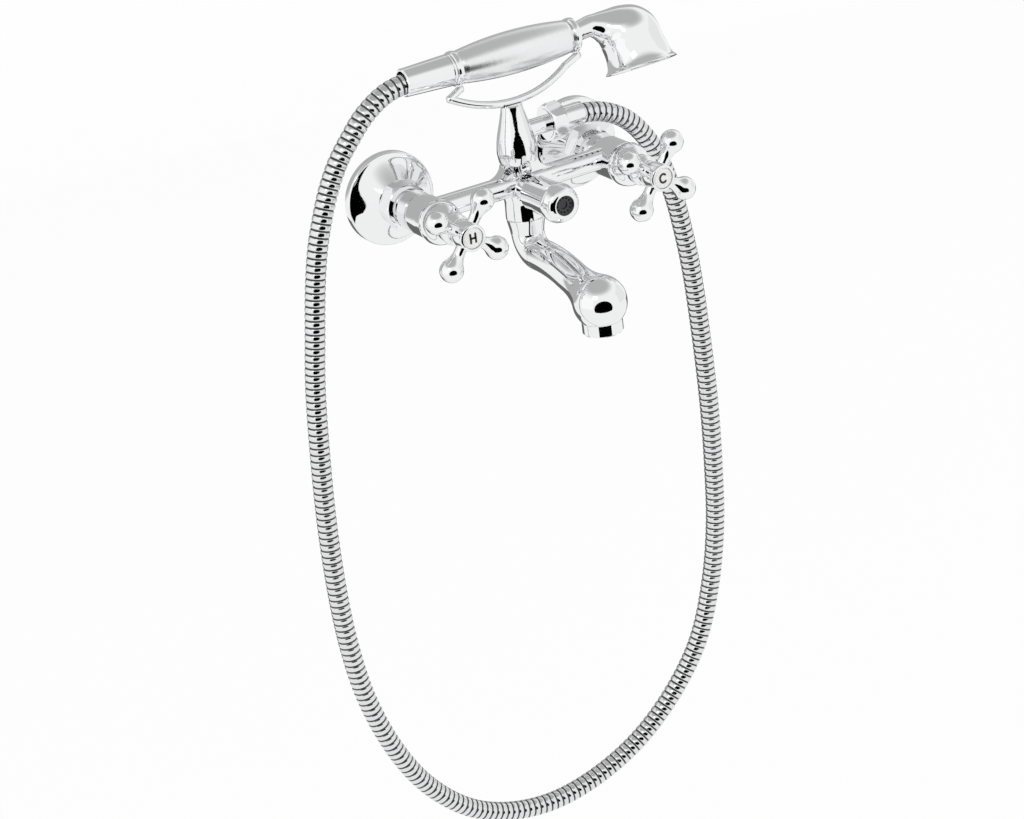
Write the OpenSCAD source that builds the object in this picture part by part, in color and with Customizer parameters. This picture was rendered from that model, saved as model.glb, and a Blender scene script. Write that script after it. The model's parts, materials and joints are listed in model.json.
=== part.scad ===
// Two-handle wall-mounted bath shower mixer with a cradle handset and a ribbed hose.
// The wall is the plane y = 0, the mixer stands out towards -Y, and the origin lies
// on the wall midway between the two inlets.

/* [Inlets] */
// Distance between the two inlet centres
inlet_spacing = 150; // [145:1:160]
// Radius of the threaded spigot that screws into the wall
spigot_r = 10.48; // [10:0.01:11]
// Length of the spigot behind the wall face
spigot_len = 14; // [10:1:20]
// Radius of the union's thread for the union nut
union_thread_r = 13.1; // [12.8:0.1:13.6]
// Length of the union's thread inside the nut
union_thread_len = 7; // [5:0.5:8]
// Radius of the water passage through union and valve tail
waterway_r = 6.5; // [5:0.1:7]
// Outer radius of the wall flange
flange_r = 33.15; // [28:0.05:38]
// Height of the wall flange
flange_h = 17.5; // [15:0.5:20]
// Height of the flange's outer rim
flange_rim_h = 6.5; // [5:0.5:8]
// Radius of the flange's front edge
flange_top_r = 16; // [15:0.1:17]
// Wall of the flange
flange_wall = 1.8; // [1.2:0.1:2.2]
// Union nut size across its flats
nut_af = 31; // [30:0.5:34]
// Length of the union nut
nut_len = 16; // [14:0.5:18]
// Thickness of the gasket between union and valve tail
gasket_t = 2; // [1:0.5:3]

/* [Valves] */
// Radius of the valve housing
housing_r = 14.3; // [13.8:0.1:15.2]
// Radius of the housing's front lip
housing_lip_r = 15.5; // [15.4:0.1:16.5]
// Length of the valve housing
housing_len = 36.6; // [34:0.2:40]
// Radius of the valve tail behind the housing
tail_r = 11.4; // [11:0.1:12]
// Length of tail showing between nut and housing
tail_neck = 5.2; // [3:0.1:7]
// Thickness of the tail's collar inside the nut
tail_collar_t = 2.4; // [1.5:0.1:3]
// Radius of the socket that takes the headwork
socket_r = 10.2; // [9.8:0.1:11]
// Depth of that socket
socket_len = 25.6; // [24.5:0.1:27]
// Thickness of each ceramic disc
disc_t = 3; // [2.5:0.1:3.4]
// Radius of the ceramic discs
disc_r = 7.5; // [7:0.1:8]
// Thickness of the seal under the fixed disc
seat_seal_t = 2.4; // [1.8:0.1:3]
// Radius of the valve spindle
spindle_r = 4; // [3.5:0.1:4.4]
// Radius of the headwork's neck
neck_r = 7.6; // [7:0.1:8]
// Length of the shroud in front of the housing
shroud_len = 18.4; // [17:0.2:21]
// Radius of the shroud's front ring
shroud_ring_r = 10.3; // [9.8:0.1:11]

/* [Handles] */
// Length of the handle hub
hub_len = 25.5; // [24:0.5:28]
// Radius of the hub at its face
hub_r = 9.5; // [8.8:0.1:10.5]
// Distance of the arms behind the hub's face
arm_setback = 8.8; // [8:0.1:10]
// Distance of each arm's ball from the handle's axis
arm_reach = 25.5; // [22:0.5:30]
// Radius of the ball at each arm's end
arm_ball_r = 8.2; // [7:0.1:8.6]
// Radius of each arm where it leaves the hub
arm_neck_r = 4; // [3:0.1:4.6]
// Radius of the concave sweep between arm and ball
arm_sweep_r = 14; // [10:0.5:18]
// Turn of the cross seen from the front, closed position
cross_turn = 54.5; // [40:0.5:60]
// Radius of the white index button
button_r = 7.5; // [6.5:0.1:7.8]
// Thickness of the index button
button_t = 3.4; // [2.5:0.1:3.8]

/* [Body] */
// Distance of the arms' axis in front of the housing's back edge
bar_setback = 18; // [17:0.5:20]
// Height of the arms' axis above the inlets
bar_z = 3; // [0:0.5:4]
// Radius of the arms
bar_r = 7.75; // [7:0.05:9]
// Radius of the water passage in the arms
bar_bore_r = 3.8; // [3:0.1:4.4]
// Radius of each arm's spigot in its housing
bar_spigot_r = 5.6; // [5:0.1:6.2]
// Radius of the centre body
body_r = 13.6; // [13:0.1:15]
// Height of the flat on top of the body above the inlets
body_top = 9; // [8.6:0.1:10.5]
// Depth of the spout seam below the inlets
neck_drop = 21; // [20:0.5:23]
// Thickness of the shoulders on both sides of the ball
shoulder_t = 8; // [6:0.5:9]
// Distance along the arms over which the shoulders run out
shoulder_reach = 25; // [23:0.5:30]

/* [Diverter] */
// Radius of the diverter chamber
chamber_r = 6.2; // [5.6:0.1:6.4]
// Length of the boss in front of the body's axis
boss_len = 15.5; // [15:0.5:18]
// Radius of the boss and of the bonnet's flange
boss_r = 9.4; // [8.6:0.1:10]
// Radius of the pull rod
rod_r = 2.5; // [2:0.1:3]
// Length of the knob
knob_len = 39; // [34:0.5:42]
// Largest radius of the knob
knob_r = 13.8; // [12:0.1:15]
// Distance of the knob's widest ring behind its face
knob_rim_setback = 8.5; // [7:0.5:10]
// Radius of the knob's rear end
knob_stem_r = 12.4; // [11:0.1:13]
// Radius of the inset in the knob's face
inset_r = 7; // [6:0.1:7.8]
// Depth of the recess that holds the inset
inset_depth = 5; // [4:0.5:6]
// Travel of the knob when pulled
pull_travel = 7; // [5:0.5:8]
// Number of turns of the return spring
spring_turns = 5; // [4:1:6]
// Radius of the spring's wire
spring_wire_r = 0.45; // [0.3:0.05:0.5]

/* [Column] */
// Radius of the ball under the cradle column
ball_r = 8; // [7.6:0.1:9]
// Radius of the ball in front of the column's foot
front_ball_r = 7.2; // [6.6:0.1:7.6]
// Distance of that ball in front of the column's axis
front_ball_out = 7; // [6:0.5:8]
// Height of the ball's centre above the body's flat
ball_rise = 3.5; // [3:0.1:4.5]
// Largest radius of the column
column_r = 14; // [12:0.1:15.5]
// Radius of the column's top
column_top_r = 7.5; // [6.5:0.1:8.5]
// Radius of the column's foot above the ball
column_foot_r = 13.2; // [12:0.1:13.6]
// Depth of the notch in which the bow rests
cradle_depth = 1.2; // [0.8:0.1:2.4]
// Height of the shower outlet's axis above the inlets
outlet_z = 39; // [37:0.5:41]
// Radius of the outlet pipe
outlet_r = 6; // [5.5:0.1:6.6]
// Distance of the outlet's end face from the column's axis
outlet_reach = 31; // [29:0.5:32.5]
// Radius of the outlet's thread
outlet_thread_r = 10.2; // [9.8:0.1:10.6]
// Length of the outlet's thread
outlet_thread_len = 6.5; // [5:0.5:8]

/* [Spout] */
// Radius of the tenon that turns in the body
tenon_r = 10; // [9.4:0.1:10.6]
// Length of the tenon
tenon_len = 11; // [10.5:0.5:11.5]
// Length of the taper between the seam and the spout's bend
neck_taper = 10.5; // [9:0.5:12]
// Radius of the spout tube
spout_r = 11.5; // [11:0.1:12.2]
// Radius of the spout's water passage
spout_bore_r = 7; // [5:0.1:8]
// Radius of the bend under the neck
spout_bend_r = 14.5; // [14:0.1:18]
// Angle through which the bend turns the spout
spout_bend = 92; // [86:1:95]
// Radius of the arch in front of the bend
spout_arch_r = 120; // [100:5:180]
// Angle through which the arch turns the spout down
spout_arch = 17; // [12:1:20]
// Distance from the end of the arch to the bulb's centre
spout_run = 40.3; // [38:0.1:60]
// Radius of the sweep from the spout's tube into the bulb
spout_sweep = 60; // [30:5:70]
// Radius of the bulb at the spout's end
bulb_r = 18.7; // [17:0.1:20]
// Radius of the aerator ring
aerator_r = 14; // [13:0.1:14.4]
// Height of the aerator ring
aerator_h = 9; // [7:0.5:12]
// Radius of the aerator's thread
aerator_thread_r = 12.4; // [11.8:0.1:12.6]

/* [Hose] */
// Outer radius of the hose over its ribs
hose_r = 7; // [6.6:0.1:7.2]
// Depth of the grooves between the ribs
rib_depth = 0.8; // [0.4:0.1:1.2]
// Number of ribs
rib_count = 196; // [100:1:200]
// Radius of the hose's bore
hose_bore_r = 4; // [3:0.1:4.4]
// Outlet nut size across its flats
hose_nut_af = 25; // [24:0.5:27]
// Length of the outlet nut
hose_nut_len = 12.5; // [11.5:0.5:14]
// Thickness of the hose washers
hose_washer_t = 2; // [1.5:0.1:2.5]
// Length of the ferrule's sleeve over the hose
ferrule_sleeve = 16; // [14:0.5:18]
// Wall of the ferrule's sleeve
ferrule_wall = 0.9; // [0.6:0.1:1.4]
// Length of the conical nut
cone_len = 35.5; // [33:0.5:38]
// Radius of the conical nut at the hose
cone_r_hose = 9.7; // [9.2:0.1:10.4]
// Radius of the conical nut at the handset
cone_r_handset = 11; // [10.5:0.1:12]

/* [Handset] */
// Distance of the handset's axis from the wall
handset_out = 45; // [42:0.5:48]
// Height of the handset's axis above the inlets
handset_z = 91; // [88:0.5:96]
// Lean of the handset back from its cradle
handset_lean = 22; // [10:1:28]
// Place along X where the tail's collar meets the conical nut
tail_x = -38; // [-42:0.5:-34]
// Radius of the tail's thread
tail_thread_r = 8.2; // [7.6:0.1:8.6]
// Length of the tail's thread
tail_thread_len = 11.5; // [9:0.5:13]
// Radius of the core tube through the grip
core_r = 6; // [5.4:0.1:6.6]
// Radius of the water passage in the handset
core_bore_r = 4; // [3:0.1:4.4]
// Length of the grip
grip_len = 88; // [78:1:96]
// Radius of the grip at its ends
grip_end_r = 11.2; // [10:0.1:12.5]
// Radius of the grip at its middle
grip_mid_r = 14.8; // [13:0.1:16.5]
// Radius of the bow's rod
bow_r = 2.6; // [2:0.1:3]
// Depth of the bow's middle below the handset's axis
bow_depth = 32.2; // [30:0.1:36]
// Rise of the bow from its middle to its ends
bow_rise = 13.2; // [11:0.1:15]
// Outer radius of the bow's rings
bow_ring_r = 12.2; // [11:0.1:13]
// Width of the bow's rings
bow_ring_w = 5; // [4:0.1:6]
// Distance of the mouth's centre from the head's neck joint
mouth_reach = 43.5; // [41:0.5:46]
// Depth of the mouth below the handset's axis
mouth_depth = 33.5; // [31:0.5:36]
// Radius of the flared mouth
mouth_r = 25.8; // [25:0.1:27]
// Wall of the head
head_wall = 1.8; // [1.4:0.1:2.4]
// Radius of the spray plate
spray_r = 20.4; // [18:0.1:20.5]

/* [Hidden] */
$fn = 72;
// Clearance of turning and sliding fits
fit = 0.05;
// Gap between covers that nearly touch
gap = 0.3;
// Radius of the small screws
screw_r = 2;
// Section radius of the O-rings
o_ring_r = 0.75;

hot_x = -inlet_spacing / 2;
cold_x = inlet_spacing / 2;

// Stations along each valve, as distances from the wall
d_nut = flange_h + gap;
d_nut_end = d_nut + nut_len;
d_union_end = d_nut + union_thread_len;
d_tail = d_union_end + gasket_t;
d_lip = d_tail + tail_collar_t;
d_housing = d_nut_end + tail_neck;
d_front = d_housing + housing_len;
d_seat = d_front - socket_len;
d_fixed = d_seat + seat_seal_t;
d_moving = d_fixed + disc_t;
d_dog = d_moving + disc_t;
dog_t = 3;
d_cavity_end = d_dog + dog_t + gap;
bonnet_flange_t = 4;
bonnet_flange_r = housing_lip_r - 3;
d_shroud_end = d_front + shroud_len;
d_neck_end = d_shroud_end + 2.5;
d_hub = d_shroud_end + 1.5;
d_face = d_hub + hub_len;
d_arms = d_face - arm_setback;
d_button = d_face - button_t - 0.4;
d_bar = d_housing + bar_setback;

// Handle fixing
hub_web = 2;
screw_head_r = 4.6;
screw_head_h = 3;
d_screw_seat = d_button - screw_head_h - 4.2;
d_spindle_end = d_screw_seat - hub_web - gap;
collar_r = union_thread_r - 0.2;
union_body_r = (spigot_r + union_thread_r) / 2;

// Diverter stations
d_boss = d_bar + boss_len;
d_chamber = d_bar - 9.5;
plug_t = 4;
d_plug = d_chamber + 3.5;
bonnet_plug_len = 4;
bonnet_front_t = 3;
d_bonnet = d_boss - bonnet_plug_len;
d_knob = d_boss + bonnet_front_t + gap;
d_knob_face = d_knob + knob_len;
rod_tip = d_knob_face - inset_depth - 2.5;
spring_r = 4.1;

// Column and cradle
column_spigot_r = 3.4;
column_spigot_len = body_top - chamber_r - 0.6;
ball_z = body_top + ball_rise;
front_ball_z = ball_z + 1.9;
seat_y = -handset_out - bow_depth * sin(handset_lean);
seat_z = handset_z - bow_depth * cos(handset_lean);
column_top = seat_z - bow_r + cradle_depth;
column_foot = ball_z + ball_r * 0.78;
column_neck_r = ball_r * 0.72;
column_swell_rise = 9;
column_taper_rise = 18;
column_taper_drop = 12;
x_thread = outlet_reach - outlet_thread_len;

// Hose fittings along X
x_washer = outlet_reach + hose_washer_t;
ferrule_flange_t = 1.6;
x_lip = x_washer + ferrule_flange_t + fit;
hose_end_x = 36;
ferrule_r = hose_r + gap + ferrule_wall;
cone_x = tail_x - cone_len;
hose_start_x = -52;
hose_straight = 2 * hose_r;
// Widening of the sleeves where the hose leaves them
sleeve_flare = 0.8;
cone_washer_x = tail_x - tail_thread_len - 1.5;

// Spout
seam_z = -neck_drop - gap;
bend_z = seam_z - neck_taper;
bend_y = -d_bar - spout_bend_r;
spout_lap = 0.6;
run_heading = spout_bend - spout_arch;
arch_y = bend_y + spout_bend_r * cos(spout_bend);
arch_z = bend_z - spout_bend_r * sin(spout_bend);
run_y = arch_y - spout_arch_r * (cos(run_heading) - cos(spout_bend));
run_z = arch_z - spout_arch_r * (sin(spout_bend) - sin(run_heading));
bulb_y = run_y - spout_run * sin(run_heading);
bulb_z = run_z - spout_run * cos(run_heading);
bulb_cut_r = aerator_r + 0.5;
aerator_z = bulb_z - sqrt(pow(bulb_r, 2) - pow(bulb_cut_r, 2));
aerator_thread_len = 8.5;
aerator_seal_t = 1.8;
groove_r = tenon_r - 2 * o_ring_r + 0.05;

// Handset stations along its own axis
x_grip = tail_x + 1.6 + bow_ring_w + fit;
x_grip_end = x_grip + grip_len;
x_head = x_grip_end + bow_ring_w + 2 * fit;
bow_mid_x = (x_grip + x_grip_end) / 2 - 10.5;
bow_half = 45.5;
bow_bead_r = bow_r + 0.15;
bow_arc_r = (pow(bow_half, 2) + pow(bow_rise, 2)) / (2 * bow_rise);
bow_arc_angle = asin(bow_half / bow_arc_r);
mouth_x = x_head + mouth_reach;
spray_t = 2.5;
spray_taper = 0.8;
spray_recess = 3.6;
spray_hole_r = 0.8;

// Route of the hose from the handset's conical nut down, round and up to the outlet
hose_route = [
    [-52, -45, 91], [-66, -45, 91], [-86.3, -45, 87.4], [-104, -45, 77.3], [-117.5, -45, 63.8],
    [-129, -45, 50], [-138.5, -45, 34], [-147, -46, 15.5], [-154, -46, -5], [-160, -46, -31],
    [-166, -47, -63], [-172, -47, -101], [-177, -48, -150], [-180, -48, -200], [-181, -49, -250],
    [-179, -50, -296], [-172, -50, -341], [-158, -51, -385], [-137, -51, -424], [-108, -52, -455],
    [-74, -52, -473], [-36, -53, -479], [4, -53, -473], [42, -54, -456], [76, -54, -429],
    [102, -55, -394], [118, -55, -352], [127, -56, -305], [131, -56, -255], [132, -57, -205],
    [131.2, -57, -150], [128.7, -57, -98], [123.5, -57, -56], [118, -57, -30],
    [110.5, -57, -7], [100.5, -57, 11.5], [86.9, -57, 26.3], [69.5, -57, 35.7], [50, -57, 39], [36, -57, 39]
];
hose_sides = 8;
bore_rings = 64;

// Curves and swept shapes
function unit(v) = v / norm(v);

function blend_point(a, b, c, e, t) =
    0.5 * (2 * b + (c - a) * t + (2 * a - 5 * b + 4 * c - e) * t * t
           + (3 * b - a - 3 * c + e) * t * t * t);

// Smooth curve through a list of points, with a number of steps between neighbours
function smooth(p, steps) =
    let (last = len(p) - 1)
    concat([for (i = [0 : last - 1], k = [0 : steps - 1])
            blend_point(p[max(i - 1, 0)], p[i], p[i + 1], p[min(i + 2, last)], k / steps)],
           [p[last]]);

// Points on an arc in the plane of a profile
function arc(x, y, r, from, to, steps) =
    [for (k = [0 : steps])
     let (a = from + (to - from) * k / steps)
     [x + r * cos(a), y + r * sin(a)]];

// Running length along a list of points
function lengths(p) =
    [for (i = 0, s = 0; i < len(p); s = s + norm(p[min(i + 1, len(p) - 1)] - p[i]), i = i + 1) s];

// Closed skin over a loop of equal rings, the last joined to the first
module ring_loop(rings) {
    n = len(rings);
    m = len(rings[0]);
    corners = [for (ring = rings) each ring];
    function corner(i, j) = (i % n) * m + (j % m);
    skin = [for (i = [0 : n - 1], j = [0 : m - 1], half = [0, 1])
            half == 0 ? [corner(i, j), corner(i, j + 1), corner(i + 1, j + 1)]
                      : [corner(i, j), corner(i + 1, j + 1), corner(i + 1, j)]];
    polyhedron(points = corners, faces = skin, convexity = 12);
}

// Closed skin over a row of equal rings, capped at both ends
module ring_row(rings) {
    n = len(rings);
    m = len(rings[0]);
    corners = [for (ring = rings) each ring];
    function corner(i, j) = i * m + (j % m);
    skin = [for (i = [0 : n - 2], j = [0 : m - 1], half = [0, 1])
            half == 0 ? [corner(i, j), corner(i, j + 1), corner(i + 1, j + 1)]
                      : [corner(i, j), corner(i + 1, j + 1), corner(i + 1, j)]];
    ends = [[for (j = [m - 1 : -1 : 0]) j], [for (j = [0 : m - 1]) corner(n - 1, j)]];
    polyhedron(points = corners, faces = concat(skin, ends), convexity = 12);
}

// Frame of an inlet or of the diverter: local z is the distance from the wall, local y is up
module from_wall(x = 0, z = 0) {
    translate([x, 0, z]) rotate([90, 0, 0]) children();
}

module tube(r, bore, from, to) {
    difference() {
        translate([0, 0, from]) cylinder(r = r, h = to - from);
        translate([0, 0, from - 1]) cylinder(r = bore, h = to - from + 2);
    }
}

module rod(r, from, to) {
    translate([0, 0, from]) cylinder(r = r, h = to - from);
}

module hexagon(af, from, to) {
    translate([0, 0, from]) cylinder(r = af / 2 / cos(30), h = to - from, $fn = 6);
}

// Ring of round section
module o_ring(r, section, at) {
    translate([0, 0, at]) rotate_extrude() translate([r, 0]) circle(r = section, $fn = 24);
}

// Hexagon nut with a round collar and bevelled corners
module bevelled_nut(af, collar, from, to, collar_len) {
    corner = af / 2 / cos(30);
    bevel = corner - af / 2;
    intersection() {
        hexagon(af, from, to - collar_len);
        rotate_extrude() polygon([
            [0, from], [af / 2, from], [corner, from + bevel],
            [corner, to - collar_len - bevel], [af / 2, to - collar_len], [0, to - collar_len]
        ]);
    }
    rod(collar, to - collar_len - 0.5, to);
}

// Inlet pieces
module wall_flange(x) {
    edge = 1.6;
    rim = flange_r - edge;
    hole = union_thread_r + gap;
    function face(t, wall) =
        [rim + (flange_top_r - rim) * t - wall * 0.7,
         flange_rim_h + (flange_h - flange_rim_h) * pow(t, 1.2) - wall];
    color("silver") from_wall(x) rotate_extrude() polygon(concat(
        [[flange_r - flange_wall, 0], [flange_r, 0]],
        arc(flange_r - edge, flange_rim_h - edge, edge, 0, 80, 4),
        [for (k = [0 : 8]) face(k / 8, 0)],
        [[hole, flange_h], [hole, flange_h - flange_wall]],
        [for (k = [7 : -1 : 1]) face(k / 8, flange_wall)],
        [[flange_r - flange_wall, flange_rim_h - flange_wall]]));
}

module wall_union(x) {
    color("silver") from_wall(x) difference() {
        union() {
            rod(spigot_r, -spigot_len, 1);
            rod(union_body_r, 0, d_nut);
            rod(union_thread_r, d_nut - 2, d_union_end);
        }
        rod(waterway_r, -spigot_len - 1, d_union_end + 1);
    }
}

module union_nut(x) {
    color("silver") from_wall(x) difference() {
        bevelled_nut(nut_af, tail_r + 2.4, d_nut, d_nut_end, 3);
        rod(union_thread_r + fit, d_nut - 1, d_lip);
        rod(tail_r + fit, d_nut, d_nut_end + 1);
    }
}

module gasket(x) {
    color("black") from_wall(x) tube(collar_r, waterway_r, d_union_end, d_tail);
}

// Valve pieces
module housing(x) {
    side = x < 0 ? 1 : -1;
    color("silver") difference() {
        from_wall(x) rotate_extrude() polygon(concat(
            [[waterway_r, d_tail], [collar_r, d_tail], [collar_r, d_lip], [tail_r, d_lip],
             [tail_r, d_housing]],
            arc(housing_r - 0.8, d_housing + 0.8, 0.8, -90, 0, 3),
            [[housing_r, d_front - 9.5], [housing_r + 0.2, d_front - 7], [housing_lip_r - 0.7, d_front - 3],
             [housing_lip_r, d_front - 0.8], [housing_lip_r - 0.3, d_front],
             [socket_r, d_front], [socket_r, d_seat], [waterway_r, d_seat]]));
        translate([x, -d_bar, bar_z]) rotate([0, side * 90, 0])
            cylinder(r = bar_spigot_r + fit, h = housing_lip_r + 2);
    }
}

module seat_seal(x) {
    color("black") from_wall(x) tube(disc_r - 0.3, disc_r - 2.4, d_seat, d_fixed);
}

// Ceramic disc with two sector-like ports, turned by an angle
module ceramic_disc(x, from, turn) {
    color("ivory") from_wall(x) difference() {
        rod(disc_r - 0.2, from, from + disc_t);
        for (a = [turn, turn + 180])
            rotate([0, 0, a]) translate([disc_r * 0.5, 0, from - 1])
                cylinder(r = disc_r * 0.27, h = disc_t + 2);
    }
}

module headwork(x) {
    color("goldenrod") from_wall(x) difference() {
        union() {
            rod(socket_r - fit, d_seat + gap, d_front);
            rod(bonnet_flange_r, d_front, d_front + bonnet_flange_t);
            rod(neck_r, d_front, d_neck_end);
        }
        rod(disc_r + fit, d_seat, d_cavity_end);
        rod(spindle_r + fit, d_seat, d_neck_end + 1);
        translate([0, 0, d_front - 5]) rotate_extrude() translate([socket_r - 0.7, 0])
            square([2, 2], center = true);
        for (a = [0, 180])
            rotate([0, 0, a]) translate([0, bar_z, d_bar]) rotate([0, 90, 0])
                cylinder(r = bar_bore_r - 0.6, h = socket_r + 1);
    }
}

module bonnet_ring(x) {
    color("black") from_wall(x) o_ring(socket_r - 0.85, o_ring_r, d_front - 5);
}

module spindle(x) {
    color("goldenrod") from_wall(x) difference() {
        union() {
            rod(disc_r - 0.3, d_dog, d_dog + dog_t);
            rod(spindle_r, d_dog, d_spindle_end);
        }
        rod(screw_r + fit, d_spindle_end - 9, d_spindle_end + 1);
    }
}

// Dome over the headwork, ending in a plain ring behind the handle
module shroud(x) {
    wall = 1.6;
    rim = housing_lip_r - 0.1;
    ring_d = d_shroud_end - 5;
    dome = 10.6;
    outline = smooth([[rim, d_front + 0.6], [rim - 0.3, d_front + 3], [rim - 1.5, d_front + 6.5],
                      [shroud_ring_r + 0.8, d_front + dome], [shroud_ring_r - 0.6, ring_d]], 4);
    color("silver") from_wall(x) difference() {
        rotate_extrude() polygon(concat(
            [[0, d_front], [rim - 0.4, d_front]], outline,
            [[shroud_ring_r - 0.6, ring_d + 0.6], [shroud_ring_r, ring_d + 1.2],
             [shroud_ring_r, d_shroud_end - 0.6], [shroud_ring_r - 0.6, d_shroud_end], [0, d_shroud_end]]));
        rod(bonnet_flange_r + fit, d_front - 1, d_front + bonnet_flange_t + gap);
        rod(neck_r + fit, d_front, d_shroud_end + 1);
    }
}

// Handle pieces
// Drop-shaped arm along local z, from the handle's axis to the ball's tip
module drop_arm() {
    dy = arm_neck_r + arm_sweep_r;
    reach = arm_ball_r + arm_sweep_r;
    dz = sqrt(pow(reach, 2) - pow(dy, 2));
    a = atan2(dz, dy);
    rotate_extrude() polygon(concat(
        [[0, 0], [arm_neck_r, 0]],
        arc(dy, arm_reach - dz, arm_sweep_r, 180, 180 - a, 7),
        arc(0, arm_reach, arm_ball_r, -a, 90, 14)));
}

module cross_handle(x) {
    skirt = shroud_ring_r + 0.5;
    color("silver") from_wall(x) difference() {
        union() {
            rotate_extrude() polygon(concat(
                [[0, d_hub], [skirt - 0.6, d_hub]],
                smooth([[skirt, d_hub + 0.6], [skirt - 0.1, d_hub + 2], [hub_r - 1.2, d_hub + 5],
                        [hub_r - 1.5, d_hub + 9], [hub_r - 0.4, d_arms - 4], [hub_r + 0.2, d_arms],
                        [hub_r, d_face - 3]], 4),
                arc(hub_r - 1.2, d_face - 1.2, 1.2, 0, 90, 4),
                [[0, d_face]]));
            for (k = [0 : 3])
                translate([0, 0, d_arms]) rotate([0, 0, cross_turn + 90 * k]) rotate([0, 90, 0]) drop_arm();
        }
        rod(neck_r + 2 * gap, d_hub - 1, d_neck_end + gap);
        rod(spindle_r + 0.02, d_hub, d_screw_seat - hub_web);
        rod(screw_r + gap, d_hub, d_screw_seat + 1);
        rod(screw_head_r + gap, d_screw_seat, d_face + 1);
        rod(button_r + fit, d_button, d_face + 1);
    }
}

module handle_screw(x) {
    color("lightgray") from_wall(x) difference() {
        union() {
            rod(screw_r, d_spindle_end - 8, d_screw_seat + 0.5);
            rod(screw_head_r, d_screw_seat, d_screw_seat + screw_head_h);
        }
        translate([0, 0, d_screw_seat + screw_head_h / 2 + 1])
            cube([2 * screw_head_r + 1, 1, screw_head_h - 1 + 1], center = true);
    }
}

module index_button(x) {
    stem = 2.5;
    color("white") from_wall(x) rotate_extrude() polygon(concat(
        [[0, d_button - stem], [screw_head_r, d_button - stem], [screw_head_r, d_button],
         [button_r, d_button]],
        smooth([[button_r, d_button + button_t - 1], [button_r - 0.7, d_button + button_t - 0.4],
                [button_r / 2, d_button + button_t - 0.1], [0, d_button + button_t]], 3)));
}

// Centre pieces
// Web that rises from both arms to the column's foot and holds the ball
module shoulders() {
    top = column_foot - fit;
    low = bar_z + bar_r * 0.8;
    flare = smooth([[shoulder_reach, low], [shoulder_reach - 5, low + 1.3], [column_foot_r + 3, low + 3.6],
                    [column_foot_r + 0.7, low + 6.6], [column_foot_r - 0.3, top]], 4);
    translate([0, -d_bar + shoulder_t / 2, 0]) rotate([90, 0, 0]) linear_extrude(height = shoulder_t)
        polygon(concat([[-shoulder_reach, bar_z], [shoulder_reach, bar_z]], flare,
                       [for (k = [len(flare) - 1 : -1 : 0]) [-flare[k][0], flare[k][1]]]));
}

module centre_body() {
    arm_end = inlet_spacing / 2 - housing_r - fit;
    spigot_end = inlet_spacing / 2 - socket_r - gap;
    socket_top = -neck_drop + tenon_len + 0.4;
    color("silver") difference() {
        union() {
            difference() {
                translate([-inlet_spacing / 2, -d_bar, bar_z]) rotate([0, 90, 0])
                    cylinder(r = bar_r, h = inlet_spacing);
                for (x = [hot_x, cold_x])
                    from_wall(x) rod(housing_r + fit, d_bar - 2 * bar_r, d_bar + 2 * bar_r);
            }
            translate([-spigot_end, -d_bar, bar_z]) rotate([0, 90, 0])
                cylinder(r = bar_spigot_r, h = 2 * spigot_end);
            translate([0, -d_bar, 0]) rotate_extrude() polygon(concat(
                [[0, -neck_drop], [body_r, -neck_drop]],
                smooth([[body_r, -neck_drop + 2], [body_r - 0.4, -neck_drop / 2], [body_r, -4],
                        [body_r - 1.4, 3], [ball_r + 1.6, body_top - 1.2], [ball_r - 0.6, body_top]], 4),
                [[0, body_top]]));
            from_wall() rod(boss_r, d_bar, d_boss);
            shoulders();
        }
        translate([0, -d_bar, 0]) intersection() {
            translate([0, 0, ball_z]) sphere(r = ball_r + gap);
            rod(2 * ball_r, body_top, column_foot);
        }
        translate([0, -d_bar, 0]) rod(column_neck_r + gap, ball_z + ball_r / 2, column_foot + 1);
        front_ball(gap);
        translate([-spigot_end - 1, -d_bar, bar_z]) rotate([0, 90, 0])
            cylinder(r = bar_bore_r, h = 2 * spigot_end + 2);
        from_wall() rod(chamber_r, d_chamber, d_boss + 1);
        translate([0, -d_bar, 0]) cylinder(r = column_spigot_r + fit, h = body_top + 1);
        translate([0, -d_bar, socket_top - 1]) cylinder(r = spout_bore_r - 2, h = -socket_top + 1);
        translate([0, -d_bar, -neck_drop - 1]) cylinder(r = tenon_r + fit, h = socket_top + neck_drop + 1);
        translate([0, -d_bar, -neck_drop + tenon_len / 2]) rotate([-90, 0, 0])
            cylinder(r = screw_r + fit, h = body_r + 1);
    }
}

module diverter_bonnet() {
    color("silver") from_wall() difference() {
        union() {
            rod(chamber_r - fit, d_bonnet, d_boss);
            rod(boss_r, d_boss, d_boss + bonnet_front_t);
        }
        rod(rod_r + fit, d_bonnet - 1, d_boss + bonnet_front_t + 1);
    }
}

module diverter_rod() {
    web = 1.2;
    color("goldenrod") from_wall() {
        rod(rod_r, d_plug - 2, rod_tip);
        rod(chamber_r - 0.6, d_plug, d_plug + web);
        rod(chamber_r - 0.6, d_plug + plug_t - web, d_plug + plug_t);
    }
}

module diverter_seal() {
    web = 1.2;
    color("black") from_wall()
        tube(chamber_r - 0.2, rod_r + fit, d_plug + web + fit, d_plug + plug_t - web - fit);
}

// Helix of wire between the plug and the bonnet
module diverter_spring() {
    sides = 6;
    steps = 10 * spring_turns;
    from = d_plug + plug_t + spring_wire_r + 0.1;
    pitch = (d_bonnet - d_plug - plug_t - 2 * spring_wire_r - 0.2) / spring_turns;
    function wire(k) =
        let (a = 360 * k * spring_turns / steps)
        [for (j = [0 : sides - 1])
         let (b = -360 * j / sides, q = spring_r + spring_wire_r * cos(b))
         [q * cos(a), q * sin(a), from + pitch * k * spring_turns / steps + spring_wire_r * sin(b)]];
    color("gray") from_wall() ring_row([for (k = [0 : steps]) wire(k)]);
}

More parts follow.
